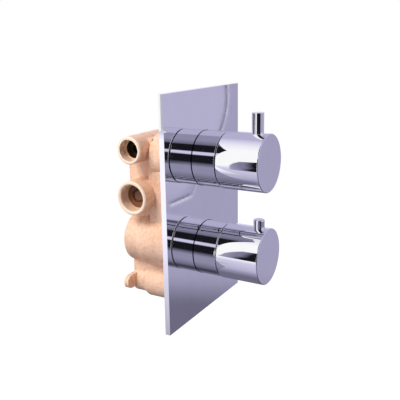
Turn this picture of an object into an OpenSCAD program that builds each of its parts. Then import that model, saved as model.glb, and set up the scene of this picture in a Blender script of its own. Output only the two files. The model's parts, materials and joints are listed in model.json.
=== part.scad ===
// Concealed thermostatic shower valve: faceplate, two knobs on sleeves, cast body with threaded ports.
// Row frame: X to the right, Y into the wall, Z up. The origin is the centre of the faceplate on the
// finished wall. Pieces round a knob axis are drawn with x right, y up and z out of the wall.

/* [Faceplate] */
// Width of the faceplate
plate_w = 141; // [120:1:180]
// Height of the faceplate
plate_h = 220; // [212:1:260]
// Distance from the finished wall to the front of the faceplate
plate_stand = 5; // [4.5:0.5:7]
// Thickness of the faceplate's sheet
plate_sheet = 1.6; // [1.2:0.1:2]
// Distance between the two knob axes
axis_spacing = 89; // [86:1:100]

/* [Knobs] */
// Outside diameter of a knob
knob_d = 54; // [53:0.5:58]
// Length of a knob
knob_len = 42; // [40:0.5:48]
// Thickness of a knob's skirt
knob_wall = 2.6; // [2:0.1:3]
// Thickness of a knob's front
knob_face = 3; // [2.5:0.1:4]
// Gap between a knob and its sleeve
knob_gap = 1.2; // [0.8:0.1:2]
// Distance from the finished wall to the front of a sleeve
sleeve_stand = 28.5; // [26:0.5:32]
// Thickness of a sleeve
sleeve_wall = 1.8; // [1.5:0.1:2.1]
// Step from a knob down to its sleeve, on the radius
sleeve_step = 0.5; // [0.3:0.1:0.8]

/* [Lever pin] */
// Diameter of the lever pin
lever_d = 11; // [8:0.5:12]
// Height of the lever pin above the knob
lever_h = 18.5; // [12:0.5:30]
// Distance from the knob's front to the lever pin's axis
lever_from_face = 12; // [10:0.5:16]

/* [Safety button] */
// Diameter of the safety button
button_d = 10.6; // [9:0.2:11]
// Height of the safety button above the knob
button_h = 8.5; // [6:0.5:12]
// Distance from the knob's front to the button's axis
button_from_face = 10; // [10:0.5:12]
// Travel of the safety button
button_travel = 2; // [1.6:0.1:2.2]

/* [Knob angles] */
// Turn from the safety stop to full cold
cold_turn = 150; // [120:5:160]
// Turn from the safety stop to full hot
hot_turn = 60; // [40:5:60]
// Turn of the flow knob to either outlet
flow_turn = 90; // [70:5:90]

/* [Valve body] */
// Depth of the body's back behind the finished wall
body_depth = 78.5; // [76:0.5:90]
// Depth of the port axes behind the finished wall
port_depth = 60; // [58:0.5:60.5]
// Outer radius of the thermostat barrel at its back
barrel_back_r = 26; // [24:0.5:28]
// Outer radius of the thermostat barrel at its front
barrel_front_r = 28; // [26:0.5:30]
// Outer radius of the diverter barrel
diverter_barrel_r = 22.5; // [22:0.5:25]
// Height of the outlet ports above the upper knob axis
outlet_rise = 7.5; // [6.5:0.5:9]
// Height of the inlet ports above the lower knob axis
inlet_rise = 49; // [48:0.5:51]
// Drop from the lower knob axis to the foot's axis
foot_drop = 47.5; // [46:0.5:50]

/* [Ports] */
// Wall round an outlet thread
outlet_wall = 3.2; // [2.6:0.1:3.6]
// Wall round an inlet thread
inlet_wall = 4; // [3:0.1:4.2]
// Reach of the outlet ports from the middle
outlet_reach = 34.5; // [33.5:0.5:45]
// Reach of the inlet ports from the middle
inlet_reach = 33.5; // [33.5:0.5:45]
// Length of an outlet thread
outlet_thread_len = 10; // [9:0.5:12]
// Length of an inlet thread
inlet_thread_len = 11.5; // [10:0.5:11.5]

/* [Cartridges] */
// Radius of the thermostat cartridge
cartridge_r = 18.9; // [18.5:0.1:19.3]
// Radius of the diverter cartridge
diverter_r = 17.5; // [17:0.1:18]
// Lead of the temperature spindle's screw, per turn
screw_lead = 4; // [2:0.5:4]

/* [Hidden] */
$fn = 72;

// Overrun of every cut past the face that it opens
over = 1;
// Running clearance of a shaft in its bore, on the radius
run = 0.05;
// Gap between pieces that bear on each other or screw together
close = 0.1;
// Loose clearance between pieces that never touch in use
loose = 0.3;

// Thread bores of the ports: half inch pipe thread at the outlets, three quarter inch at the inlets
outlet_thread_r = 10.48;
inlet_thread_r = 13.22;

// Heights of the two knob axes and the port axes
upper_h = axis_spacing / 2;
lower_h = -axis_spacing / 2;
outlet_h = upper_h + outlet_rise;
inlet_h = lower_h + inlet_rise;

// Knobs and sleeves
knob_r = knob_d / 2;
knob_inner_r = knob_r - knob_wall;
knob_back = sleeve_stand + knob_gap;
knob_front = knob_back + knob_len;
knob_floor = knob_front - knob_face;
knob_front_edge = 0.9;
knob_back_edge = 0.5;
sleeve_r = knob_r - sleeve_step;
sleeve_inner_r = sleeve_r - sleeve_wall;
sleeve_edge = 0.4;

// Necks of the body, cartridge seats and retaining nuts
neck_depth = 6;
shoulder_depth = 22;
seat_depth = 18;
neck_r = sleeve_inner_r - close;
seat_step = 1.6;
cartridge_bore_r = cartridge_r + close;
thread_bore_r = cartridge_bore_r + seat_step;
flange_h = 2;
nut_r = thread_bore_r - close;
nut_inset = 1.8;
nut_flat_r = neck_r - nut_inset;
nut_flat_h = 8;
nut_boss_r = 16;
nut_boss_h = 6;
nut_bore_r = 12;
snout_r = nut_bore_r - close;
snout_front = -4;

// Stems, extensions and their splined ends
stem_r = 5;
spline_r = 4;
collar_r = 8.5;
collar_h = 2.2;
spline_front = 16;
stem_front = 2;
extension_back = 4;
extension_r = 6.5;
extension_socket = 14;
extension_gap = 6;
clip_r = 7;
clip_h = 0.8;
clip_groove_r = 4.3;
clip_front = snout_front + loose + clip_h;

// Knob inserts
insert_r = knob_inner_r - close;
insert_plate_h = 2;
insert_front = knob_floor - close;
insert_back = insert_front - insert_plate_h;
insert_rim_h = 7;
insert_rim_wall = 1.8;
hub_r = 9;
hub_back = 38;
rib_w = 1.6;
rib_h = 9;
rib_count = 6;

// Grub screws under the knobs
grub_r = 2;
grub_len = 6.5;
grub_boss_r = 4.2;
grub_from_face = 13.4;
grub_z = knob_front - grub_from_face;
grub_socket_r = 1.1;
grub_socket_h = 2.5;

// Lever pin
lever_r = lever_d / 2;
lever_z = knob_front - lever_from_face;
lever_sink = 0.9;
lever_fit = 0.05;
lever_edge = 0.5;
lever_stud_r = 3;
lever_stud_len = 12;
lever_block_r = 6;

// Safety button and its pocket
button_r = button_d / 2;
button_z = knob_front - button_from_face;
button_crown = 1.4;
button_flange_w = 0.8;
button_flange_h = 1.2;
button_flange_r = button_r + button_flange_w;
button_flange_top = sqrt(pow(knob_inner_r, 2) - pow(button_flange_r, 2)) - loose;
button_flange_low = button_flange_top - button_flange_h;
spring_solid = 2;
spring_room = button_travel + spring_solid;
pocket_floor = button_flange_low - spring_room;
pocket_floor_h = 1.4;
pocket_wall = 1.3;
pocket_bore_r = button_flange_r + loose;
pocket_r = pocket_bore_r + pocket_wall;
button_stem_r = 2;
arm_w = 2.4;
arm_h = 2.8;
arm_top = pocket_floor - pocket_floor_h - loose;
arm_low = arm_top - arm_h;
button_spring_r = 4.2;
button_wire_r = 0.2;
button_curls = 3;

// Stop sleeve
stop_gap = 1.9;
stop_r = knob_inner_r - stop_gap;
stop_wall = 1.8;
stop_inner_r = stop_r - stop_wall;
stop_to_pocket = 1.6;
stop_front = button_z - pocket_r - stop_to_pocket;
stop_flange_h = 3;
stop_back = nut_flat_h - neck_depth + loose;
lug_w = 1.2;
lug_len = 6;
lug_bite = 0.8;
lug_r = arm_top - lug_bite;
lug_rest_gap = 0.28;
lug_angle = asin((arm_w / 2 + lug_rest_gap + lug_w / 2) / arm_top);
arm_reach = 4.5;
arm_back = stop_front - arm_reach;
key_inset = 0.5;
block_h = 5.5;
block_back = hub_back + key_inset;
block_front = block_back + block_h;
block_r = 12.3;
key_w = 3;
key_r = 14.5;
stop_slack = 1;
key_half_angle = asin(key_w / 2 / block_r) + stop_slack;

// Faceplate
hole_fit = 0.3;
hole_r = sleeve_r + hole_fit;
seal_bore_r = sleeve_r + run;
seal_w = 2;
seal_seat_r = seal_bore_r + seal_w + close;
rim_wall = 1.2;
rim_h = 3;
seal_h = 2.6;
foam_w = 8;
foam_h = plate_stand - plate_sheet - close;

// Valve body
web_half = 17;
web_depth = 50;
spine_depth = 44;
spine_half = 9;
spine_edge = 3;
spine_over_axis = 9.5;
barrel_edge = 3;
barrel_step_depth = 55;
barrel_step_len = 7;
diverter_back = 46.5;
barrel_seat_depth = 64;
chamber_r = 15;
chamber_depth = 72;
diverter_seat_depth = 31;
diverter_bore_r = diverter_r + close;
mixed_r = 4.5;
mixed_depth = 71.5;
feed_r = 4;
feed_x = 7;
feed_offset = 5.7;
outlet_outer_r = outlet_thread_r + outlet_wall;
inlet_outer_r = inlet_thread_r + inlet_wall;
outlet_inner_r = 9.1;
outlet_inner_end = 19;
outlet_way_r = 6;
outlet_way_end = 7;
side_x = 10;
side_r = 4;
centre_r = 4;
riser_wall = 3;
riser_cap = 10;
mouth_edge = 1.1;
outlet_entry = 0.4;
inlet_entry = 1.2;
spine_top = upper_h + spine_over_axis;
foot_h = lower_h - foot_drop;
foot_back_r = 14;
foot_front_r = 17;
foot_front_depth = 24;
foot_step_depth = 59;
foot_step_len = 6;
foot_edge = 2;
foot_pocket_r = 9;
foot_pocket_depth = 52;
lug_x = 20.5;
lug_rise = 1.9;
ear_r = 7;
ear_hole_r = 2.5;
ear_t = 5;
web_front_low = 30;

// Check valves in the inlets
check_r = 11.9;
check_spring_solid = 4.1;
check_start = inlet_reach - inlet_thread_len;
check_seat_r = 7;
check_seat_h = 2;
check_chamber_r = 9.6;
check_hub_r = 3;
check_hub_h = 2;
check_stem_r = 1.5;
check_travel = 3;
check_stem_in = 1;
poppet_r = 8.4;
poppet_h = 1.8;
poppet_nose_r = 6.5;
poppet_tip_r = 5;
poppet_nose_h = 1.2;
check_spring_r = 2.3;
check_wire_r = 0.25;
check_curls = 5;
check_len = check_seat_h + close + poppet_h + check_travel + check_spring_solid + check_hub_h;
inlet_way_r = 6.5;
inlet_way_end = 5;

// Thermostat cartridge, from its outer flange inwards
head_depth = 28;
head_cavity_r = 9;
head_front_wall = 6;
carrier_r = head_cavity_r - run;
carrier_room = 3.8;
carrier_len = 10.5;
carrier_cap_r = 6;
carrier_cap_h = 2.5;
tab_w = 3;
tab_r = 10.8;
screw_r = 5;
screw_bore_r = screw_r + run;
screw_end = -26;
ring_section = 1.05;
ring_squeeze = 0.02;
ring_groove_w = 2.6;
front_ring_depth = 24;
mid_ring_depth = 39.25;
back_ring_depth = 55;
shuttle_bore_r = 14;
shuttle_r = shuttle_bore_r - run;
shuttle_wall = 2.4;
shuttle_len = 10;
shuttle_mid = 39.5;
window_w = 3.5;
window_open = 1.8;
window_count = 5;
window_bar = 14;
window_groove_w = 6;
window_groove_r = 16.9;
sleeve_floor = 60;
sleeve_end = 62;
sleeve_tail_r = 12;
sleeve_tail_room = 5.8;
bulb_r = 5.5;
bulb_edge = 0.8;
bulb_hole_r = 6.2;
drain_r = 1.6;
drain_ring_r = 9.2;
drain_count = 6;
wax_collar_r = 8;
wax_collar_h = 2;
wax_collar_drop = 2.4;
wax_guide_r = 4.5;
wax_guide_len = 5;
piston_r = 1.8;
web_h = 1.6;
web_hole_r = 1.8;
web_hole_ring = 8.2;
web_hole_count = 6;
return_spring_r = 7.2;
return_wire_r = 0.6;
return_curls = 4;

// Diverter cartridge
base_seal_h = 3;
disc_h = 3;
moving_h = 3.4;
disc_r = 13.9;
moving_r = 13;
diverter_cavity_r = 14;
driver_r = 13.2;
driver_h = 1.7;
peg_r = 1.5;
peg_ring = 9.5;
peg_h = 1.4;
stop_tab_w = 4;
stop_tab_r = 15.3;
stop_groove_r = 15.6;
stop_groove_h = 2.4;
recess_h = 1.9;
recess_r = 4.2;
slot_r = 3.2;
top_wall_h = 2;
seal_hole_r = 3.6;

// Places along the diverter axis, out of the wall
base_seal_front = base_seal_h - diverter_seat_depth;
disc_front = base_seal_front + disc_h;
moving_front = disc_front + moving_h;
driver_front = moving_front + driver_h;
cavity_front = flange_h - seat_depth - top_wall_h;

// Places along the thermostat axis, out of the wall
head_back = -head_depth;
collar_front = snout_front - head_front_wall - loose;
carrier_rise = screw_lead * hot_turn / 360;
carrier_fall = screw_lead * cold_turn / 360;
carrier_front = collar_front - collar_h - carrier_rise - carrier_room;
sleeve_tail_depth = shuttle_mid + shuttle_len / 2 + carrier_fall + sleeve_tail_room;
cap_back = carrier_front - carrier_len - carrier_cap_h;
wax_collar_front = -shuttle_mid - wax_collar_drop;
wax_collar_back = wax_collar_front - wax_collar_h;
web_back = wax_collar_front + close;
bulb_back = -sleeve_floor;

// Drawing helpers

// Puts a piece on a knob axis: x right, y up, z out of the wall
module on_axis(height) {
    translate([0, 0, height]) rotate([90, 0, 0]) children();
}

// Points a piece radially upwards from a knob axis, at one place along it
module upwards(z) {
    translate([0, 0, z]) rotate([-90, 0, 0]) children();
}

// Points a piece radially downwards from a knob axis, at one place along it
module downwards(z) {
    translate([0, 0, z]) rotate([90, 0, 0]) children();
}

// Points a piece from the left towards the middle at a port: z runs to the right
module from_left(reach, height) {
    translate([-reach, port_depth, height]) rotate([0, 90, 0]) children();
}

module both_sides() {
    children();
    mirror([1, 0, 0]) children();
}

module rod(r, z0, z1) {
    translate([0, 0, z0]) cylinder(r = r, h = z1 - z0);
}

module tube(r, bore, z0, z1) {
    difference() {
        rod(r, z0, z1);
        rod(bore, z0 - over, z1 + over);
    }
}

// A rod whose two end edges are round
module soft_rod(r, z0, z1, edge0, edge1) {
    rotate_extrude() {
        translate([0, z0 + edge0]) square([r, z1 - z0 - edge0 - edge1]);
        translate([0, z0]) square([r - edge0, edge0]);
        translate([0, z1 - edge1]) square([r - edge1, edge1]);
        translate([r - edge0, z0 + edge0]) circle(r = edge0, $fn = 24);
        translate([r - edge1, z1 - edge1]) circle(r = edge1, $fn = 24);
    }
}

module cone(r0, r1, z0, z1) {
    translate([0, 0, z0]) cylinder(r1 = r0, r2 = r1, h = z1 - z0);
}

module ring_at(ring_r, section, z) {
    rotate_extrude() translate([ring_r, z]) circle(r = section, $fn = 24);
}

// A pie slice that covers radius r between two angles
module pie(r, from_angle, to_angle) {
    steps = 6;
    cover = r / cos((to_angle - from_angle) / steps / 2) + over;
    polygon(concat([[0, 0]], [for (i = [0:steps])
        let (a = from_angle + (to_angle - from_angle) * i / steps)
        [cover * cos(a), cover * sin(a)]]));
}

module arc_block(r_in, r_out, from_angle, to_angle, z0, z1) {
    translate([0, 0, z0]) linear_extrude(z1 - z0) intersection() {
        difference() {
            circle(r = r_out);
            circle(r = r_in);
        }
        pie(r_out, from_angle, to_angle);
    }
}

// A rectangle with round corners, centred on x and y
module soft_rect(w, h, corner) {
    square([w - 2 * corner, h], center = true);
    square([w, h - 2 * corner], center = true);
    for (x = [-1, 1], y = [-1, 1])
        translate([x * (w / 2 - corner), y * (h / 2 - corner)]) circle(r = corner);
}

// One unbroken helix tube that stands between z0 and z1
rings_per_curl = 8;
wire_sides = 6;

function helix_ring(r, wire, z0, rise, curls, i) =
    let (n = curls * rings_per_curl, a = 360 * i / rings_per_curl, z = z0 + wire + rise * i / n)
    [for (s = [0:wire_sides - 1])
        let (b = 360 * s / wire_sides, q = r + wire * cos(b))
        [q * cos(a), q * sin(a), z + wire * sin(b)]];

module helix(r, wire, z0, z1, curls) {
    n = curls * rings_per_curl;
    rise = z1 - z0 - 2 * wire;
    least_gap = rise / curls - 2 * wire;
    echo(str("least gap between curls ", least_gap));
    points = [for (i = [0:n]) each helix_ring(r, wire, z0, rise, curls, i)];
    sides = [for (i = [0:n - 1], s = [0:wire_sides - 1])
        let (t = (s + 1) % wire_sides, low = i * wire_sides, high = low + wire_sides)
        each [[low + s, high + s, low + t], [low + t, high + s, high + t]]];
    start = [for (s = [1:wire_sides - 2]) [0, s, s + 1]];
    last = n * wire_sides;
    finish = [for (s = [1:wire_sides - 2]) [last, last + s + 1, last + s]];
    polyhedron(points = points, faces = concat(sides, start, finish));
}

// Valve body

module barrel_blank() {
    on_axis(lower_h) {
        rod(neck_r, -shoulder_depth, -neck_depth);
        rod(barrel_front_r, -barrel_step_depth, -shoulder_depth);
        cone(barrel_back_r, barrel_front_r, -barrel_step_depth - barrel_step_len, -barrel_step_depth);
        soft_rod(barrel_back_r, -body_depth, -barrel_step_depth, barrel_edge, barrel_edge);
    }
    on_axis(upper_h) {
        rod(neck_r, -shoulder_depth, -neck_depth);
        soft_rod(diverter_barrel_r, -diverter_back, -shoulder_depth + over, barrel_edge, over);
    }
}

module web_blank() {
    // Wide web between the two barrels
    translate([-web_half, shoulder_depth, lower_h])
        cube([2 * web_half, web_depth - shoulder_depth, axis_spacing]);
    // Narrow spine behind it, from the foot to above the diverter
    translate([0, spine_depth, (spine_top + foot_h) / 2]) rotate([-90, 0, 0])
        linear_extrude(body_depth - spine_depth)
        soft_rect(2 * spine_half, spine_top - foot_h, spine_edge);
    // Web down to the foot
    translate([-spine_half, web_front_low, foot_h])
        cube([2 * spine_half, body_depth - web_front_low, lower_h - foot_h]);
    // Block round the ways from the diverter to the outlets
    around = side_r + riser_wall;
    translate([-side_x - around, spine_depth, upper_h - around])
        cube([2 * side_x + 2 * around, port_depth + around - spine_depth, outlet_rise + around + riser_cap]);
    // Block behind the wide web, round the inlet tube
    translate([-web_half, web_depth - over, inlet_h - inlet_outer_r + over])
        cube([2 * web_half, port_depth - web_depth + over, 2 * inlet_outer_r - 2 * over]);
}

// Round tubes that run across the body, behind the diverter barrel and between the two barrels
module port_blank() {
    both_sides() {
        from_left(outlet_reach, outlet_h) {
            cone(outlet_outer_r - mouth_edge, outlet_outer_r, 0, mouth_edge);
            rod(outlet_outer_r, mouth_edge, outlet_reach);
        }
        from_left(inlet_reach, inlet_h) {
            cone(inlet_outer_r - mouth_edge, inlet_outer_r, 0, mouth_edge);
            rod(inlet_outer_r, mouth_edge, inlet_reach);
        }
    }
}

module foot_blank() {
    on_axis(foot_h) {
        rod(foot_front_r, -foot_step_depth, -foot_front_depth);
        cone(foot_back_r, foot_front_r, -foot_step_depth - foot_step_len, -foot_step_depth);
        soft_rod(foot_back_r, -body_depth, -foot_step_depth, foot_edge, over);
    }
    both_sides() translate([-lug_x, 0, lug_rise]) on_axis(foot_h) {
        rod(ear_r, -body_depth, ear_t - body_depth);
        translate([0, -ear_r, -body_depth]) cube([lug_x, 2 * ear_r, ear_t]);
    }
}

module barrel_bores() {
    on_axis(lower_h) {
        rod(thread_bore_r, -seat_depth, over - neck_depth);
        rod(cartridge_bore_r, -barrel_seat_depth, over - seat_depth);
        rod(chamber_r, -chamber_depth, over - barrel_seat_depth);
    }
    on_axis(upper_h) {
        rod(thread_bore_r, -seat_depth, over - neck_depth);
        rod(diverter_bore_r, -diverter_seat_depth, over - seat_depth);
        rod(centre_r, -mixed_depth, over - diverter_seat_depth);
        for (x = [-side_x, side_x])
            translate([x, 0, 0]) rod(side_r, -port_depth - side_r, over - diverter_seat_depth);
    }
}

module waterways() {
    // Mixed water rises behind the barrels
    translate([0, mixed_depth, lower_h]) rod(mixed_r, 0, axis_spacing + centre_r + close);
    both_sides() {
        // Outlet threads, their reliefs and the risers from the discs
        from_left(outlet_reach, outlet_h) {
            rod(outlet_thread_r, -over, outlet_thread_len);
            cone(outlet_thread_r + outlet_entry + over, outlet_thread_r, -over, outlet_entry);
            rod(outlet_inner_r, 0, outlet_reach - outlet_inner_end);
            rod(outlet_way_r, 0, outlet_reach - outlet_way_end);
        }
        translate([-side_x, port_depth, upper_h]) rod(side_r, 0, outlet_rise);
        // Inlet threads, check valve seats and the chambers behind them
        from_left(inlet_reach, inlet_h) {
            rod(inlet_thread_r, -over, inlet_thread_len);
            cone(inlet_thread_r + inlet_entry + over, inlet_thread_r, -over, inlet_entry);
            rod(check_r + close, 0, inlet_thread_len + check_len + loose);
            rod(inlet_way_r, 0, inlet_reach - inlet_way_end);
        }
    }
    // Hot feed to the back ring of the thermostat, cold feed to its front ring
    feed(-feed_x, shuttle_mid + feed_offset);
    feed(feed_x, shuttle_mid - feed_offset);
}

// Way forward from an inlet chamber and down to one ring of the thermostat
module feed(x, depth) {
    translate([x, depth, lower_h + feed_x]) rod(feed_r, 0, inlet_rise - feed_x);
    translate([x, 0, 0]) on_axis(inlet_h) rod(feed_r + loose, -port_depth, feed_r + close - depth);
}

module valve_body() {
    color("burlywood") difference() {
        union() {
            barrel_blank();
            web_blank();
            port_blank();
            foot_blank();
        }
        barrel_bores();
        waterways();
        on_axis(foot_h) rod(foot_pocket_r, -foot_pocket_depth, over - foot_front_depth);
        both_sides() translate([-lug_x, 0, lug_rise]) on_axis(foot_h)
            rod(ear_hole_r, -body_depth - over, ear_t - body_depth + over);
    }
}

// Faceplate, its seals and the chrome sleeves

module plate_box(w, h, z0, z1) {
    translate([-w / 2, -h / 2, z0]) cube([w, h, z1 - z0]);
}

module faceplate() {
    back_of_sheet = plate_stand - plate_sheet;
    color("lightsteelblue") on_axis(0) difference() {
        union() {
            difference() {
                plate_box(plate_w, plate_h, 0, plate_stand);
                plate_box(plate_w - 2 * plate_sheet, plate_h - 2 * plate_sheet, -over, back_of_sheet);
            }
            for (h = [lower_h, upper_h])
                translate([0, h, 0])
                rod(seal_seat_r + rim_wall, back_of_sheet - rim_h, back_of_sheet + loose);
        }
        for (h = [lower_h, upper_h]) translate([0, h, 0]) {
            rod(hole_r, -over, plate_stand + over);
            rod(seal_seat_r, -over, back_of_sheet);
        }
    }
}

module faceplate_seal() {
    w = plate_w - 2 * plate_sheet - 2 * loose;
    h = plate_h - 2 * plate_sheet - 2 * loose;
    color("dimgray") on_axis(0) difference() {
        plate_box(w, h, 0, foam_h);
        plate_box(w - 2 * foam_w, h - 2 * foam_w, -over, foam_h + over);
    }
}

module sleeve_seals() {
    front = plate_stand - plate_sheet - close;
    color("black") for (h = [lower_h, upper_h])
        on_axis(h) tube(seal_bore_r + seal_w, seal_bore_r, front - seal_h, front);
}

module sleeve() {
    difference() {
        soft_rod(sleeve_r, -shoulder_depth + loose, sleeve_stand, sleeve_edge, sleeve_edge);
        rod(sleeve_inner_r, -shoulder_depth - over, sleeve_stand + over);
    }
}

module flow_sleeve() {
    color("silver") on_axis(upper_h) sleeve();
}

module temperature_sleeve() {
    color("silver") on_axis(lower_h) sleeve();
}

// Pieces that both axes have

module retaining_nut() {
    flat_back = close - neck_depth;
    difference() {
        union() {
            rod(nut_r, flange_h - seat_depth, flat_back);
            translate([0, 0, flat_back])
                cylinder(r = nut_flat_r, h = nut_flat_h - neck_depth - flat_back, $fn = 6);
            rod(nut_boss_r, 0, nut_flat_h - neck_depth + nut_boss_h);
        }
        rod(nut_bore_r, -seat_depth, nut_flat_h + nut_boss_h);
    }
}

// Groove for a sealing ring that seals against a bore of radius bore_r
module ring_groove(bore_r, depth) {
    tube(bore_r + over, bore_r - 2 * ring_section - run, -depth - ring_groove_w / 2, ring_groove_w / 2 - depth);
}

module sealing_ring(bore_r, depth) {
    ring_at(bore_r - ring_section - ring_squeeze, ring_section - ring_squeeze, -depth);
}

// The stem in front of a cartridge: running part, clip groove and splined end
module stem(back) {
    difference() {
        union() {
            rod(stem_r, back, stem_front);
            rod(spline_r, back, spline_front);
        }
        tube(stem_r + over, clip_groove_r, clip_front - clip_h - close, clip_front + close);
    }
}

module clip() {
    difference() {
        tube(clip_r, clip_groove_r + run, clip_front - clip_h, clip_front);
        translate([-clip_groove_r / 2, 0, clip_front - clip_h - over])
            cube([clip_groove_r, clip_r + over, clip_h + 2 * over]);
    }
}

module extension() {
    difference() {
        union() {
            rod(extension_r, extension_back, extension_back + extension_socket + over);
            rod(spline_r, extension_back + extension_socket, insert_back - extension_gap);
        }
        rod(spline_r + run, extension_back - over, spline_front + loose);
    }
}

module insert_blank() {
    rod(insert_r, insert_back, insert_front);
    tube(insert_r, insert_r - insert_rim_wall, insert_back - insert_rim_h, insert_front);
    rod(hub_r, hub_back, insert_front);
    for (i = [0:rib_count - 1]) rotate([0, 0, 360 * i / rib_count])
        translate([0, -rib_w / 2, insert_back - rib_h])
        cube([insert_r - insert_rim_wall / 2, rib_w, rib_h + over]);
    downwards(grub_z) rod(grub_boss_r, 0, insert_r);
}

module insert_bores() {
    rod(spline_r + run, hub_back - over, insert_back - extension_gap + loose);
    downwards(grub_z) rod(grub_r + run, 0, insert_r + over);
}

module knob_shell() {
    difference() {
        soft_rod(knob_r, knob_back, knob_front, knob_back_edge, knob_front_edge);
        rod(knob_inner_r, knob_back - over, knob_floor);
        downwards(grub_z) rod(grub_r + loose, 0, knob_r + over);
    }
}

module grub_screw() {
    start = spline_r + close;
    downwards(grub_z) difference() {
        rod(grub_r, start, start + grub_len);
        translate([0, 0, start + grub_len - grub_socket_h])
            cylinder(r = grub_socket_r, h = grub_socket_h + over, $fn = 6);
    }
}

// Flow and diverter side

module flow_nut() {
    color("goldenrod") on_axis(upper_h) retaining_nut();
}

module diverter_housing() {
    groove_half_angle = flow_turn + asin(stop_tab_w / 2 / diverter_cavity_r) + stop_slack;
    groove_mid = moving_front + driver_h / 2;
    color("gainsboro") on_axis(upper_h) difference() {
        union() {
            rod(diverter_r, base_seal_front, flange_h - seat_depth);
            rod(nut_r, -seat_depth, flange_h - seat_depth);
            rod(snout_r, -seat_depth, snout_front);
        }
        rod(diverter_cavity_r, base_seal_front - over, cavity_front);
        rod(stem_r + run, base_seal_front, snout_front + over);
        // Groove that stops the spindle's tab at either outlet
        arc_block(diverter_cavity_r - over, stop_groove_r, 90 - groove_half_angle, 90 + groove_half_angle,
            groove_mid - stop_groove_h / 2, groove_mid + stop_groove_h / 2);
        ring_groove(diverter_bore_r, front_ring_depth);
    }
}

module diverter_seal() {
    color("black") on_axis(upper_h) difference() {
        rod(diverter_r, -diverter_seat_depth, base_seal_front);
        rod(seal_hole_r, -diverter_seat_depth - over, base_seal_front + over);
        for (x = [-side_x, side_x])
            translate([x, 0, 0]) rod(seal_hole_r, -diverter_seat_depth - over, base_seal_front + over);
    }
}

module fixed_disc() {
    color("whitesmoke") on_axis(upper_h) difference() {
        rod(disc_r, base_seal_front, disc_front);
        rod(seal_hole_r, base_seal_front - over, disc_front + over);
        for (x = [-side_x, side_x])
            translate([x, 0, 0]) rod(seal_hole_r - loose, base_seal_front - over, disc_front + over);
    }
}

module moving_disc() {
    color("whitesmoke") on_axis(upper_h) difference() {
        rod(moving_r, disc_front, moving_front);
        // Keyhole recess: it points down when shut and bridges to one outlet when turned
        rod(recess_r, disc_front - over, disc_front + recess_h);
        translate([0, -side_x, 0]) rod(slot_r, disc_front - over, disc_front + recess_h);
        translate([-slot_r, -side_x, disc_front - over]) cube([2 * slot_r, side_x, recess_h + over]);
        for (x = [-peg_ring, peg_ring])
            translate([x, 0, 0]) rod(peg_r + run, moving_front - peg_h - close, moving_front + over);
    }
}

module flow_spindle() {
    color("goldenrod") on_axis(upper_h) {
        stem(driver_front);
        rod(collar_r, driver_front, cavity_front - close);
        rod(driver_r, moving_front, driver_front);
        for (x = [-peg_ring, peg_ring])
            translate([x, 0, 0]) rod(peg_r, moving_front - peg_h, moving_front + driver_h);
        translate([-stop_tab_w / 2, 0, moving_front]) cube([stop_tab_w, stop_tab_r, driver_h]);
    }
}

module flow_clip() {
    color("silver") on_axis(upper_h) clip();
}

module flow_extension() {
    color("goldenrod") on_axis(upper_h) extension();
}

module flow_insert() {
    color("lightgray") on_axis(upper_h) difference() {
        intersection() {
            union() {
                insert_blank();
                upwards(lever_z) rod(lever_block_r, 0, insert_r);
            }
            rod(insert_r, hub_back, insert_front);
        }
        insert_bores();
        upwards(lever_z) rod(lever_stud_r + run, knob_inner_r - lever_stud_len - loose, insert_r + over);
    }
}

module flow_knob() {
    color("silver") on_axis(upper_h) difference() {
        knob_shell();
        upwards(lever_z) {
            rod(lever_stud_r + run, 0, knob_r + over);
            rod(lever_r + lever_fit, knob_r - lever_sink, knob_r + over);
        }
    }
}

module lever_pin() {
    color("silver") on_axis(upper_h) upwards(lever_z) {
        soft_rod(lever_r, knob_r - lever_sink, knob_r + lever_h, lever_edge, lever_edge);
        rod(lever_stud_r, knob_inner_r - lever_stud_len, knob_r - lever_sink + over);
    }
}

module flow_grub_screw() {
    color("dimgray") on_axis(upper_h) grub_screw();
}

// Thermostat side

module temperature_nut() {
    color("goldenrod") on_axis(lower_h) retaining_nut();
}

module thermostat_head() {
    color("goldenrod") on_axis(lower_h) difference() {
        union() {
            rod(cartridge_r, head_back, flange_h - seat_depth);
            rod(nut_r, -seat_depth, flange_h - seat_depth);
            rod(snout_r, -seat_depth, snout_front);
        }
        rod(stem_r + run, head_back, snout_front + over);
        rod(head_cavity_r, head_back - over, snout_front - head_front_wall);
        // Slots that keep the rising carrier from turning
        for (s = [0, 180]) rotate([0, 0, s])
            translate([0, -tab_w / 2 - close, head_back - over])
            cube([tab_r + loose, tab_w + 2 * close, carrier_front + carrier_rise + loose - head_back + over]);
        ring_groove(cartridge_bore_r, front_ring_depth);
    }
}

module window_ring(mid, window_low, window_high) {
    tube(cartridge_r + over, window_groove_r, -mid - window_groove_w / 2, window_groove_w / 2 - mid);
    for (i = [0:window_count - 1])
        arc_block(shuttle_bore_r - over, cartridge_r + over, 360 * i / window_count + window_bar,
            360 * (i + 1) / window_count - window_bar, window_low, window_high);
}

module thermostat_sleeve() {
    hot_edge = -shuttle_mid - shuttle_len / 2;
    cold_edge = -shuttle_mid + shuttle_len / 2;
    color("darkslategray") on_axis(lower_h) difference() {
        rod(cartridge_r, -sleeve_end, head_back);
        rod(shuttle_bore_r, -sleeve_tail_depth, head_back + over);
        rod(sleeve_tail_r, -sleeve_floor, -sleeve_tail_depth + over);
        rod(bulb_hole_r, -sleeve_end - over, over - sleeve_floor);
        for (i = [0:drain_count - 1]) rotate([0, 0, 360 * i / drain_count])
            translate([drain_ring_r, 0, 0]) rod(drain_r, -sleeve_end - over, over - sleeve_floor);
        window_ring(shuttle_mid + feed_offset, hot_edge - window_open, hot_edge - window_open + window_w);
        window_ring(shuttle_mid - feed_offset, cold_edge + window_open - window_w, cold_edge + window_open);
        ring_groove(cartridge_bore_r, mid_ring_depth);
        ring_groove(cartridge_bore_r, back_ring_depth);
    }
}

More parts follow.
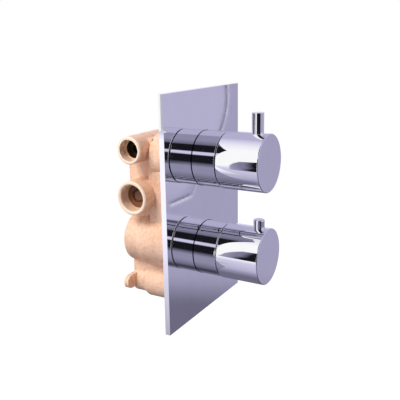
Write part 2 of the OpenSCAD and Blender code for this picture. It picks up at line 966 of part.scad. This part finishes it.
// Sealing rings of both cartridges
module sealing_rings() {
    color("black") {
        on_axis(lower_h) for (depth = [front_ring_depth, mid_ring_depth, back_ring_depth])
            sealing_ring(cartridge_bore_r, depth);
        on_axis(upper_h) sealing_ring(diverter_bore_r, front_ring_depth);
    }
}

module temperature_spindle() {
    color("goldenrod") on_axis(lower_h) {
        stem(collar_front);
        rod(collar_r, collar_front - collar_h, collar_front);
        rod(screw_r, screw_end, collar_front);
    }
}

module temperature_clip() {
    color("silver") on_axis(lower_h) clip();
}

module rising_carrier() {
    back = carrier_front - carrier_len;
    color("peru") on_axis(lower_h) difference() {
        union() {
            rod(carrier_r, back, carrier_front);
            rod(carrier_cap_r, cap_back, back + over);
            translate([-tab_r, -tab_w / 2, back]) cube([2 * tab_r, tab_w, carrier_len]);
        }
        rod(screw_bore_r, back, carrier_front + over);
    }
}

module wax_element() {
    color("chocolate") on_axis(lower_h) {
        soft_rod(bulb_r, bulb_back, wax_collar_back + over, bulb_edge, bulb_edge);
        rod(wax_collar_r, wax_collar_back, wax_collar_front);
        rod(wax_guide_r, wax_collar_front, wax_collar_front + wax_guide_len);
        rod(piston_r, wax_collar_front, cap_back - close);
    }
}

module mixing_shuttle() {
    low = -shuttle_mid - shuttle_len / 2;
    color("lightgray") on_axis(lower_h) difference() {
        union() {
            tube(shuttle_r, shuttle_r - shuttle_wall, low, low + shuttle_len);
            rod(shuttle_r - shuttle_wall / 2, web_back, web_back + web_h);
        }
        rod(wax_guide_r + run, low, low + shuttle_len);
        for (i = [0:web_hole_count - 1]) rotate([0, 0, 360 * i / web_hole_count])
            translate([web_hole_ring, 0, 0]) rod(web_hole_r, low, low + shuttle_len);
    }
}

module return_spring() {
    color("silver") on_axis(lower_h)
        helix(return_spring_r, return_wire_r, close - sleeve_floor, wax_collar_back - close, return_curls);
}

module stop_sleeve() {
    block_low = -90 + hot_turn + key_half_angle;
    block_high = 270 - cold_turn - key_half_angle;
    color("white") on_axis(lower_h) {
        tube(stop_r, stop_inner_r, stop_back, stop_front);
        tube(stop_r, nut_boss_r + close, stop_back, stop_back + stop_flange_h);
        // Fixed block between the full cold and full hot positions of the insert's key
        arc_block(block_r, stop_r - stop_wall / 2, block_low, block_high, block_back, block_front);
        // Safety tooth that the button's arm meets
        rotate([0, 0, lug_angle]) translate([-lug_w / 2, lug_r, stop_front - lug_len])
            cube([lug_w, stop_r - stop_wall / 2 - lug_r, lug_len]);
    }
}

module temperature_extension() {
    color("goldenrod") on_axis(lower_h) extension();
}

module temperature_insert() {
    color("lightgray") on_axis(lower_h) difference() {
        intersection() {
            union() {
                insert_blank();
                upwards(button_z) rod(pocket_r, pocket_floor - pocket_floor_h, insert_r);
                // Key that the fixed block stops at either end of the turn
                translate([-key_w / 2, -key_r, block_back + key_inset])
                    cube([key_w, key_r, block_front - block_back - 2 * key_inset]);
            }
            rod(insert_r, hub_back, insert_front);
        }
        insert_bores();
        upwards(button_z) {
            rod(pocket_bore_r, pocket_floor, insert_r + over);
            rod(button_stem_r + loose, hub_r, pocket_floor + over);
        }
    }
}

module temperature_knob() {
    color("silver") on_axis(lower_h) difference() {
        knob_shell();
        upwards(button_z) rod(button_r + run, 0, knob_r + over);
    }
}

module temperature_grub_screw() {
    color("dimgray") on_axis(lower_h) grub_screw();
}

module safety_button() {
    color("silver") on_axis(lower_h) {
        upwards(button_z) {
            soft_rod(button_r, button_flange_low, knob_r + button_h, loose, button_crown);
            rod(button_flange_r, button_flange_low, button_flange_top);
            rod(button_stem_r, arm_low, button_flange_low + over);
        }
        translate([-arm_w / 2, arm_low, arm_back]) cube([arm_w, arm_h, button_z - arm_back]);
    }
}

module button_spring() {
    color("silver") on_axis(lower_h) upwards(button_z)
        helix(button_spring_r, button_wire_r, pocket_floor + close, button_flange_low - close, button_curls);
}

// Check valves: drawn from the mouth of the hot inlet inwards

module in_inlet() {
    from_left(check_start - loose, inlet_h) children();
}

module check_body() {
    color("goldenrod") in_inlet() {
        tube(check_r, check_chamber_r, 0, check_len);
        tube(check_r, check_seat_r, 0, check_seat_h);
        tube(check_hub_r, check_stem_r + run, check_len - check_hub_h, check_len);
        for (a = [0, 120, 240]) rotate([0, 0, a])
            translate([check_stem_r + run + loose, -rib_w / 2, check_len - check_hub_h])
            cube([check_chamber_r - check_stem_r, rib_w, check_hub_h]);
    }
}

module check_poppet() {
    back = check_seat_h + close;
    color("saddlebrown") in_inlet() {
        cone(poppet_tip_r, poppet_nose_r, back - poppet_nose_h, back);
        rod(poppet_r, back, back + poppet_h);
        rod(check_stem_r, back, check_len - check_stem_in);
    }
}

module check_spring() {
    back = check_seat_h + close + poppet_h;
    color("silver") in_inlet()
        helix(check_spring_r, check_wire_r, back + close, check_len - check_hub_h - close, check_curls);
}

module hot_check_valve() {
    check_body();
}

module hot_check_poppet() {
    check_poppet();
}

module hot_check_spring() {
    check_spring();
}

module cold_check_valve() {
    mirror([1, 0, 0]) check_body();
}

module cold_check_poppet() {
    mirror([1, 0, 0]) check_poppet();
}

module cold_check_spring() {
    mirror([1, 0, 0]) check_spring();
}

valve_body();
faceplate();
faceplate_seal();
sleeve_seals();
flow_sleeve();
temperature_sleeve();
flow_nut();
diverter_housing();
diverter_seal();
fixed_disc();
moving_disc();
flow_spindle();
flow_clip();
flow_extension();
flow_insert();
flow_knob();
lever_pin();
flow_grub_screw();
temperature_nut();
thermostat_head();
thermostat_sleeve();
sealing_rings();
temperature_spindle();
temperature_clip();
rising_carrier();
wax_element();
mixing_shuttle();
return_spring();
stop_sleeve();
temperature_extension();
temperature_insert();
temperature_knob();
temperature_grub_screw();
safety_button();
button_spring();
hot_check_valve();
hot_check_poppet();
hot_check_spring();
cold_check_valve();
cold_check_poppet();
cold_check_spring();
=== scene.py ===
import json
import math

import bpy
from mathutils import Matrix, Vector


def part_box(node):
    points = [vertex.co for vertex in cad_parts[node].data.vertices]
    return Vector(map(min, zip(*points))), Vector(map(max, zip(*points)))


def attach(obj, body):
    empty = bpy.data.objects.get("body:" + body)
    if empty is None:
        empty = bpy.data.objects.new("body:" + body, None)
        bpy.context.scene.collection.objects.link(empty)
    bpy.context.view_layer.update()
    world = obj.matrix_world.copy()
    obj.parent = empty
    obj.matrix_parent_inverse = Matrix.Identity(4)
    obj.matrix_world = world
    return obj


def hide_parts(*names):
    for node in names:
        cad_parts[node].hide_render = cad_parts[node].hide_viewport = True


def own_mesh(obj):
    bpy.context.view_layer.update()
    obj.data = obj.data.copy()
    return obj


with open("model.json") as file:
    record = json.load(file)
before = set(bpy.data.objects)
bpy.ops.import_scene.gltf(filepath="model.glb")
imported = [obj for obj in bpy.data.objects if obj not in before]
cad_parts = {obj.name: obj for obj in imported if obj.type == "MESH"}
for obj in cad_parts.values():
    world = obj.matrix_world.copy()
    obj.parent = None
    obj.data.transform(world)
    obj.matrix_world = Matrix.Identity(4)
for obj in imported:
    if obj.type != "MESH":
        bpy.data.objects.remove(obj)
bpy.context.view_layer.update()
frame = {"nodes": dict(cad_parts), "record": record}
nodes = frame["nodes"]

MM = 0.001
X, Y, Z = 0, 1, 2


# Shader helpers

class Value:
    """One output of a shader tree, with the usual arithmetic."""

    def __init__(self, tree, socket):
        self.tree = tree
        self.socket = socket

    def __add__(self, other):
        return self.tree.math("ADD", self, other)

    def __sub__(self, other):
        return self.tree.math("SUBTRACT", self, other)

    def __rsub__(self, other):
        return self.tree.math("SUBTRACT", other, self)

    def __mul__(self, other):
        return self.tree.math("MULTIPLY", self, other)

    def __truediv__(self, other):
        return self.tree.math("DIVIDE", self, other)

    def __neg__(self):
        return self * -1.0

    def __abs__(self):
        return self.tree.math("ABSOLUTE", self)

    def ramp(self, low, high, a=0.0, b=1.0):
        """From a to b while the value goes from low to high, held at both ends."""
        inputs = {"Value": self, "From Min": low, "From Max": high, "To Min": a, "To Max": b}
        return self.tree.value("MapRange", 0, inputs, interpolation_type=self.tree.easing)


class Tree:
    """A small builder of nodes in the tree of a material or a world."""

    def __init__(self, owner, easing="LINEAR"):
        owner.use_nodes = True
        self.nt = owner.node_tree
        self.nt.nodes.clear()
        self.easing = easing

    def put(self, socket, value):
        """Feed an input with a number, a vector, a colour or a Value."""
        if isinstance(value, Value):
            self.nt.links.new(value.socket, socket)
        elif socket.type == "RGBA":
            socket.default_value = (*value, 1.0)
        else:
            socket.default_value = value

    def node(self, kind, inputs=None, **settings):
        n = self.nt.nodes.new("ShaderNode" + kind)
        for key, value in settings.items():
            setattr(n, key, value)
        for key, value in (inputs or {}).items():
            self.put(n.inputs[key], value)
        return n

    def value(self, kind, output, inputs=None, **settings):
        """A new node, taken as one of its outputs."""
        return Value(self, self.node(kind, inputs, **settings).outputs[output])

    def math(self, operation, *values):
        return self.value("Math", 0, dict(enumerate(values)), operation=operation)

    def most(self, a, b):
        return self.math("MAXIMUM", a, b)

    def mix(self, factor, a, b):
        return self.value("Mix", 2, {0: factor, 6: a, 7: b}, data_type="RGBA")

    def xyz(self, vector):
        return [Value(self, part) for part in self.node("SeparateXYZ", {0: vector}).outputs]


class Shader(Tree):
    """The material of a piece, patterned in the piece's coordinates, the frame's at rest."""

    SPREAD = (0.3, 0.7)  # nearly all the values of a noise lie between these

    def __init__(self, name, metallic, base, rough):
        self.mat = bpy.data.materials.new(name)
        super().__init__(self.mat)
        inputs = {"Metallic": metallic, "Base Color": base, "Roughness": rough}
        self.bsdf = self.node("BsdfPrincipled", inputs)
        self.node("OutputMaterial", {"Surface": Value(self, self.bsdf.outputs[0])})
        self.coord = self.value("TexCoord", "Object")

    def noise(self, scale, detail=3.0, rough=0.55, coord=None):
        inputs = {"Vector": coord or self.coord, "Scale": scale, "Detail": detail,
                  "Roughness": rough}
        return self.value("TexNoise", "Fac", inputs)

    def paint(self, tone):
        self.put(self.bsdf.inputs["Base Color"], tone)

    def rough(self, value, low, high):
        self.put(self.bsdf.inputs["Roughness"], value.ramp(*self.SPREAD, low, high))

    def bump(self, height, strength, distance, under=None):
        """Relief on the surface, on top of an earlier relief."""
        inputs = {"Height": height, "Strength": strength, "Distance": distance}
        if under is not None:
            inputs["Normal"] = under
        relief = self.value("Bump", 0, inputs)
        self.put(self.bsdf.inputs["Normal"], relief)
        return relief


def scaled(colour, factor):
    return tuple(c * factor for c in colour)


# Materials

CHROME = (0.96, 0.96, 0.975)
SLEEVE_JOINT = -5.6 * MM  # just in front of the plate, where a sleeve stands in its opening
JOINT_WIDTH = 1.0 * MM
# The dark seal and the painted shade of the gap where a sleeve meets the plate
JOINT_SEAL_AND_SHADE_TONE = (0.04, 0.04, 0.05)


def chrome(name, joint=None):
    """Chrome with a thin film of dust, and with a dark band round the piece at a depth: the dark
    seal and the painted shade of the gap at a joint.
    """
    s = Shader(name, 1.0, CHROME, 0.03)
    film = s.noise(45.0, 4.0, 0.6)
    tone = s.mix(film.ramp(0.35, 0.75), CHROME, scaled(CHROME, 0.96))
    if joint is not None:
        y = s.xyz(s.coord)[Y]
        end = joint + JOINT_WIDTH
        # A band of the seal's dark and of painted shade in the gap at the joint
        seal_and_shade_band = y.ramp(joint - 0.15 * MM, joint) * y.ramp(end, end + 0.1 * MM, 1.0, 0.0)
        tone = s.mix(seal_and_shade_band, tone, JOINT_SEAL_AND_SHADE_TONE)
    s.paint(tone)
    s.rough(s.noise(160.0, 3.0, 0.6), 0.018, 0.045)
    s.bump(s.noise(28.0, 1.0, 0.4), 0.015, 0.0004)
    return s.mat


# The ports of the casting
PORT_AXIS = 60 * MM  # behind the wall
PORT_END = 40 * MM  # past the mouths of all four
UPPER_PORT = {"height": 52 * MM, "bore": 9.9 * MM, "thread": 10.9 * MM,
              "shoulder": 24.2 * MM, "mouth": 33.3 * MM}
LOWER_PORT = {"height": 4.5 * MM, "bore": 12.9 * MM, "thread": 13.7 * MM,
              "shoulder": 21.8 * MM, "mouth": 32.3 * MM}
BETWEEN_PORTS = 30 * MM  # height that parts the upper ports from the lower ones
THREAD_PITCH = 1.814 * MM  # 14 turns to the inch
WAVE_PERIOD = 2 * math.pi / 20  # of a wave texture whose scale is 1

# Tones of the casting, and the painted shade deep in its bores
SAND, SAND_DARK = (0.93, 0.62, 0.43), (0.79, 0.48, 0.31)
FLECK, FLECK_DARK = (1.0, 0.80, 0.66), (0.56, 0.30, 0.17)
CUT_THREAD, CUT_MOUTH, BORE_SHADE = (0.96, 0.68, 0.48), (0.96, 0.75, 0.58), (0.05, 0.03, 0.02)


def inside_port(s, port, radius, inner, outer):
    """1 within a radius of a port's axis, left and right, and from inner to outer along X."""
    x, y, z = s.xyz(s.coord)
    x, y, z = abs(x), y - PORT_AXIS, z - port["height"]
    away = s.math("SQRT", y * y + z * z)
    along = x.ramp(inner, inner + 0.5 * MM) * x.ramp(outer, outer + 0.5 * MM, 1.0, 0.0)
    return along * away.ramp(radius, radius + 0.2 * MM, 1.0, 0.0)


def cast_brass():
    """Sandblasted brass with bright machined mouths and threads, and painted shade deep in the
    bores behind them.
    """
    s = Shader("cast_brass", 0.30, (0.88, 0.60, 0.42), 0.5)
    grain = s.noise(900.0, 5.0, 0.75)
    patch = s.noise(46.0, 5.0, 0.62)
    mottle = s.noise(330.0, 4.0, 0.7)
    tone = s.mix(patch.ramp(0.35, 0.68), SAND, SAND_DARK)
    tone = s.mix(mottle.ramp(0.42, 0.80, 0.0, 0.55), tone, FLECK)
    tone = s.mix(mottle.ramp(0.46, 0.22, 0.0, 0.40), tone, FLECK_DARK)

    x, _, z = s.xyz(s.coord)
    upper = z.ramp(BETWEEN_PORTS, BETWEEN_PORTS + 1 * MM)
    up, down = (abs(x).ramp(port["mouth"], port["mouth"] + 0.3 * MM)
                for port in (UPPER_PORT, LOWER_PORT))
    mouths = s.most(upper * up, (1.0 - upper) * down)
    threads = s.most(*(inside_port(s, port, port["thread"], port["shoulder"], PORT_END)
                       for port in (UPPER_PORT, LOWER_PORT)))
    # Deep in the bores, behind the threads, the shade is painted in as a near-black tone
    bore_shade = s.most(*(inside_port(s, port, port["bore"], -1 * MM, port["shoulder"] - 0.2 * MM)
                     for port in (UPPER_PORT, LOWER_PORT)))
    tone = s.mix(threads, tone, CUT_THREAD)
    tone = s.mix(mouths, tone, CUT_MOUTH)
    s.paint(s.mix(bore_shade, tone, BORE_SHADE))

    s.rough(grain, 0.36, 0.56)
    relief = s.bump(grain, 0.35, 0.0006)
    pits = s.value("TexVoronoi", "Distance", {"Vector": s.coord, "Scale": 420.0})
    relief = s.bump(pits, 0.22, 0.0008, relief)
    relief = s.bump(s.noise(90.0, 3.0, 0.5), 0.16, 0.003, relief)
    turns = s.value("TexWave", "Fac", {"Vector": s.coord, "Scale": WAVE_PERIOD / THREAD_PITCH})
    s.bump(turns * threads, 0.9, 0.0009, relief)
    return s.mat


def turned(name, base, rough=(0.16, 0.3)):
    """Metal with the fine rings of a lathe."""
    s = Shader(name, 1.0, base, 0.25)
    rings = s.value("Mapping", 0, {"Vector": s.coord, "Scale": (1, 12, 1)})
    n = s.noise(600.0, 3.0, 0.6, rings)
    s.paint(s.mix(n.ramp(*s.SPREAD), base, scaled(base, 0.82)))
    s.rough(n, *rough)
    s.bump(n, 0.06, 0.0002)
    return s.mat


def plastic(name, base, rough=(0.34, 0.5)):
    """Moulded plastic or fired ceramic, with a fine grain and a faint cloud of tone."""
    s = Shader(name, 0.0, base, 0.4)
    n = s.noise(900.0, 3.0, 0.6)
    s.paint(s.mix(s.noise(60.0).ramp(*s.SPREAD), base, scaled(base, 0.9)))
    s.rough(n, *rough)
    s.bump(n, 0.08, 0.0002)
    return s.mat


def rubber(name, base, grain=700.0, depth=0.2):
    """Rubber or foam, with a grain of its own size and depth."""
    s = Shader(name, 0.0, base, 0.7)
    n = s.noise(grain, 4.0, 0.7)
    worn = tuple(c * 1.8 + 0.01 for c in base)
    s.paint(s.mix(n.ramp(*s.SPREAD), base, worn))
    s.rough(n, 0.6, 0.85)
    s.bump(n, depth, 0.0005)
    return s.mat


MATERIALS = {
    "cast_brass": cast_brass(),
    "chrome_plate": chrome("chrome_plate"),
    "chrome": chrome("chrome"),
    "chrome_sleeve": chrome("chrome_sleeve", SLEEVE_JOINT),
    "foam": rubber("foam", (0.05, 0.05, 0.055), 500.0, 0.6),
    "black_rubber": rubber("black_rubber", (0.02, 0.02, 0.02)),
    "machined_brass": turned("machined_brass", (0.86, 0.66, 0.36)),
    "grey_plastic": plastic("grey_plastic", (0.50, 0.51, 0.52)),
    "white_plastic": plastic("white_plastic", (0.82, 0.82, 0.80)),
    "dark_plastic": plastic("dark_plastic", (0.03, 0.035, 0.04)),
    "brown_plastic": plastic("brown_plastic", (0.17, 0.07, 0.03)),
    "ceramic": plastic("ceramic", (0.86, 0.86, 0.84), (0.08, 0.16)),
    "copper_alloy": turned("copper_alloy", (0.78, 0.42, 0.26)),
    "steel": turned("steel", (0.62, 0.62, 0.64), (0.2, 0.35)),
}

slots = {p["node"]: p["material_slot"] for p in frame["record"]["subparts"]}
for name, obj in nodes.items():
    look = "chrome_sleeve" if name in ("flow_sleeve", "temperature_sleeve") else slots[name]
    obj.data.materials.clear()
    obj.data.materials.append(MATERIALS[look])


def new_object(name, corners, faces, material):
    mesh = bpy.data.meshes.new(name)
    mesh.from_pydata(corners, [], faces)
    mesh.materials.append(material)
    obj = bpy.data.objects.new(name, mesh)
    bpy.context.scene.collection.objects.link(obj)
    return obj


# Springs

CURL_RINGS = 32  # rings of vertices in each curl
WIRE_SIDES = 10
END_PULL = 0.35  # how much closer the first and last curls lie, as closed ends do


def spring(node, along, wire, curls, body, anchor_high):
    """A smooth round-wire spring in place of the CAD one, with wire as the wire's radius.

    It hides the CAD spring and hangs on the body; its anchored end is worked out but nothing
    shortens it.
    """
    low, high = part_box(node)
    middle = (Vector(low) + Vector(high)) / 2
    across, over = [i for i in range(3) if i != along]
    coil = (high[across] - low[across]) / 2 - wire
    length = high[along] - low[along]
    rings = curls * CURL_RINGS
    corners, faces = [], []
    for i in range(rings + 1):
        t = i / rings
        t += END_PULL / curls * math.sin(2 * math.pi * t) * (abs(2 * t - 1) ** 3)
        rise = low[along] + wire + (length - 2 * wire) * t
        round_coil = 2 * math.pi * i / CURL_RINGS
        for j in range(WIRE_SIDES):
            round_wire = 2 * math.pi * j / WIRE_SIDES
            radius = coil + wire * math.cos(round_wire)
            corner = [0.0, 0.0, 0.0]
            corner[across] = middle[across] + radius * math.cos(round_coil)
            corner[over] = middle[over] + radius * math.sin(round_coil)
            corner[along] = rise + wire * math.sin(round_wire)
            corners.append(corner)
    for i in range(rings):
        for j in range(WIRE_SIDES):
            this = i * WIRE_SIDES + j
            beside = i * WIRE_SIDES + (j + 1) % WIRE_SIDES
            faces.append((this, beside, beside + WIRE_SIDES, this + WIRE_SIDES))
    faces.append(tuple(reversed(range(WIRE_SIDES))))
    faces.append(tuple(rings * WIRE_SIDES + j for j in range(WIRE_SIDES)))
    obj = new_object(node + "_wire", corners, faces, MATERIALS[slots[node]])
    polygons = obj.data.polygons
    polygons.foreach_set("use_smooth", [len(p.vertices) == 4 for p in polygons])
    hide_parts(node)
    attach(obj, body)
    axis = [float(i == along) for i in range(3)]
    anchor = list(middle)
    anchor[along] = high[along] if anchor_high else low[along]
    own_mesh(obj)


spring("button_spring", along=Z, wire=0.2 * MM, curls=3, body="temperature_control",
       anchor_high=False)
spring("return_spring", along=Y, wire=0.6 * MM, curls=4, body="housing",
       anchor_high=True)
spring("hot_check_spring", along=X, wire=0.25 * MM, curls=5, body="housing",
       anchor_high=True)
spring("cold_check_spring", along=X, wire=0.25 * MM, curls=5, body="housing",
       anchor_high=False)


# Floor

FLOOR_HALF = 4.0
FLOOR_PLACE = (0, 3.75, -1.05)
FLOOR_GREY = (0.5, 0.5, 0.5)
FLOOR_GLOW = 0.80  # lifts the floor to white for the camera, and keeps its shadow

floor_material = bpy.data.materials.new("floor")
ground = Tree(floor_material)
glow = ground.value("Emission", 0, {
    "Strength": ground.value("LightPath", "Is Camera Ray") * FLOOR_GLOW})
matt = ground.value("BsdfDiffuse", 0, {"Color": FLOOR_GREY})
ground.node("OutputMaterial", {"Surface": ground.value("AddShader", 0, {0: matt, 1: glow})})

floor = new_object("floor", [(-FLOOR_HALF, -FLOOR_HALF, 0), (FLOOR_HALF, -FLOOR_HALF, 0),
                             (FLOOR_HALF, FLOOR_HALF, 0), (-FLOOR_HALF, FLOOR_HALF, 0)],
                   [(0, 1, 2, 3)], floor_material)
floor.location = FLOOR_PLACE
floor.visible_glossy = False


# Flag

# A dark wedge and a pale card stand to the left, where only the chrome sees them
FLAG_X = -0.3
WEDGE = [(0.04, -0.088), (0.090, -0.088), (0.105, -0.080), (0.099, -0.06), (0.093, 0.0),
         (0.086, 0.05), (0.078, 0.092), (0.04, 0.110)]
CARD = [(0.120, -0.27), (0.180, -0.27), (0.180, 0.03), (0.1505, 0.04), (0.1505, 0.11),
        (0.120, 0.11)]
WEDGE_HUE, CARD_HUE = (0.72, 0.68, 1.02), (0.95, 0.93, 1.12)

flag_material = bpy.data.materials.new("flag")
cards = Tree(flag_material)
_, y, z = cards.xyz(cards.value("NewGeometry", "Position"))
# The wedge is grey, with a black front edge that lies further back at its foot
black_edge = y - z.ramp(-0.05, -0.02, 0.012, 0.0)
wedge = y.ramp(0.076, 0.098, 0.30, 0.50) * black_edge.ramp(0.055, 0.070, 0.04, 1.0)
# The card is brightest at the height of the lower knob and dimmer above and below it
on_card = y.ramp(0.114, 0.118)
card = z.ramp(-0.25, -0.09, 0.50, 1.06) * z.ramp(0.028, 0.045, 1.0, 0.42) * on_card
glow = cards.value("Emission", 0, {
    "Color": cards.mix(on_card, WEDGE_HUE, CARD_HUE), "Strength": cards.most(wedge, card)})
cards.node("OutputMaterial", {"Surface": glow})

wedge_face = tuple(range(len(WEDGE)))
card_face = tuple(range(len(WEDGE), len(WEDGE) + len(CARD)))
flag = new_object("flag", [(FLAG_X, *corner) for corner in WEDGE + CARD],
                  [wedge_face, card_face], flag_material)
flag.visible_camera = False
flag.visible_diffuse = False
flag.visible_shadow = False


# Studio

studio = bpy.data.worlds.new("studio")
bpy.context.scene.world = studio
world = Tree(studio, "SMOOTHSTEP")
dx, dy, dz = world.xyz(world.value("TexCoord", "Generated"))
# Angle round the wall's normal, as a part of a full turn: right, up, left and down again
turn = world.math("FRACT", world.math("ARCTAN2", dz, dx) * (0.5 / math.pi) + 1.0)


def linear(tone):
    """A written 0..255 tone as a linear colour."""
    return tuple(v / 255 / 12.92 if v <= 10 else ((v / 255 + 0.055) / 1.055) ** 2.4
                 for v in tone)


def round_the_wall(stops):
    """Tones by angle: 0 degrees to the right, 90 up, 180 to the left, 270 down."""
    n = world.node("ValToRGB", {0: turn})
    points = n.color_ramp.elements
    while len(points) > 1:
        points.remove(points[-1])
    (first, tone), *rest = stops
    points[0].position, points[0].color = first / 360, (*linear(tone), 1.0)
    for angle, tone in rest:
        points.new(angle / 360).color = (*linear(tone), 1.0)
    return Value(world, n.outputs[0])


# The room is lit in a few tones of lilac grey
WHITE, PALE, HAZE, LILAC = (255, 255, 255), (240, 238, 248), (212, 208, 234), (182, 178, 208)
DIM, GREY, DEEP, BLACK = (146, 143, 170), (110, 107, 130), (66, 65, 80), (24, 23, 29)

# Behind the wall's plane: a white sweep, lilac above and below it, and a grey floor
back = round_the_wall([
    (0, PALE), (12, HAZE), (24, LILAC), (74, LILAC), (88, HAZE), (108, PALE), (128, WHITE),
    (190, WHITE), (200, HAZE), (234, LILAC), (248, DIM), (266, GREY), (324, GREY), (337, DIM),
    (347, HAZE)])
# In front of it: a dim lilac room, black at the left with one bright strip, and a deep grey floor
front = round_the_wall([
    (0, LILAC), (62, LILAC), (67, DIM), (95, DIM), (114, GREY), (118, BLACK), (145, BLACK),
    (147, HAZE), (157, HAZE), (160, BLACK), (188, BLACK), (198, GREY), (208, DIM), (234, DIM),
    (264, GREY), (276, DEEP), (291, DEEP), (303, GREY), (332, GREY), (337, DIM), (345, LILAC)])

NOT_ZERO = 0.001

# A large soft light in the room ends in a curve towards the right, which falls back with the
# square of the height from its tip. Its edge has a dark shade and a bright rim, and past it
# the room is duller
TIP_FALL = 0.087
TIP_REACH = 0.505
BEND = 4.5
SHADE, RIM, PAST = linear(GREY), linear(HAZE), linear((164, 160, 190))

reach = -dy / world.most(dx, NOT_ZERO)
fall = -dz - TIP_FALL
inside = reach - (fall * fall * BEND + TIP_REACH)
near_tip = abs(fall).ramp(0.34, 0.28)
upper_part = dz.ramp(-0.20, -0.17)
front = world.mix(inside.ramp(0.017, 0.0092) * near_tip * upper_part, front, SHADE)
front = world.mix(inside.ramp(0.0084, 0.0078) * near_tip * upper_part, front, RIM)
past = inside.ramp(0.0060, 0.0040) * near_tip
lower_limit = world.most(upper_part, inside.ramp(0.020, -0.020))
front = world.mix(world.math("MINIMUM", past, lower_limit), front, PAST)

# A second light, lower, ends in a curve that is level at first and then rises
u = dx / world.most(-dy, NOT_ZERO)
w = dz / world.most(-dy, NOT_ZERO)
course = u.ramp(1.670, 1.730, -0.503, -0.453) + u.ramp(1.505, 1.540, -0.120, 0.0)
under = w - course
extent = u.ramp(1.46, 1.50) * u.ramp(1.735, 1.725)
extent = extent * (w.ramp(-0.72, -0.66) * w.ramp(-0.38, -0.42))
shade = under.ramp(0.016, 0.0) * under.ramp(-0.001, 0.0) * extent
front = world.mix(shade, front, SHADE)
rim = under.ramp(0.0005, -0.0005) * under.ramp(-0.014, -0.004) * extent
front = world.mix(rim, front, RIM)

# Straight ahead of the wall, and straight behind it, the room is even
front = world.mix(dy.ramp(-0.62, -0.86), front,
                  world.mix(dz.ramp(-0.5, 0.3), linear(GREY), linear(HAZE)))
back = world.mix(dy.ramp(0.66, 0.9), back, linear(PALE))

# The dark side of the room, where the camera stands
dark = dy.ramp(-0.50, -0.58) * dx.ramp(-0.28, -0.36)
dark = dark * (dz.ramp(-0.36, -0.28) * dz.ramp(0.40, 0.30))
front = world.mix(dark, front, linear(BLACK))

# The camera itself sees white, and matt surfaces get an even light
MATT_LIGHT = (0.44, 0.42, 0.44)

room = world.mix(dy.ramp(0.02, -0.02), back, front)
room = world.mix(world.value("LightPath", "Is Camera Ray"), room, (1.0, 1.0, 1.0))
room = world.mix(world.value("LightPath", "Is Diffuse Ray"), room, MATT_LIGHT)
light = world.value("Background", 0, {"Color": room, "Strength": 1.0})
world.node("OutputWorld", {"Surface": light})


def lamp(name, location, side, watts):
    """A square soft lamp that points at the middle of the plate and isn't mirrored."""
    data = bpy.data.lights.new(name, "AREA")
    data.shape = "RECTANGLE"
    data.size = data.size_y = side
    data.energy = watts
    obj = bpy.data.objects.new(name, data)
    obj.location = location
    obj.rotation_euler = (-Vector(location)).to_track_quat("-Z", "Y").to_euler()
    obj.visible_glossy = False
    bpy.context.scene.collection.objects.link(obj)


lamp("key", (-0.75, 0.30, 0.80), 0.45, 15.0)
lamp("fill", (-0.6, -0.7, 0.4), 0.6, 1.2)


# Camera

# The camera that was fitted to the photograph
FOCAL_PIXELS, WIDTH_PIXELS = 589.877, 400
SENSOR_MM = 36.0
YAW, PITCH, ROLL = 0.523458, 0.260931, -0.0166665
PLACE = Vector((-0.48324, -0.27737, 0.15093))

camera_data = bpy.data.cameras.new("camera")
camera_data.sensor_width = SENSOR_MM
camera_data.lens = FOCAL_PIXELS / WIDTH_PIXELS * SENSOR_MM
camera_data.clip_start = 0.01
camera_data.clip_end = 30.0
camera = bpy.data.objects.new("camera", camera_data)
ahead = Vector((math.cos(YAW) * math.cos(PITCH), math.sin(YAW) * math.cos(PITCH),
                -math.sin(PITCH)))
level = Vector((math.sin(YAW), -math.cos(YAW), 0.0))
upright = level.cross(ahead)
right = math.cos(ROLL) * level + math.sin(ROLL) * upright
up = math.cos(ROLL) * upright - math.sin(ROLL) * level
aim = Matrix((right, up, -ahead)).transposed()
camera.matrix_world = Matrix.Translation(PLACE) @ aim.to_4x4()
bpy.context.scene.collection.objects.link(camera)
bpy.context.scene.camera = camera

bpy.context.scene.view_settings.view_transform = "Standard"
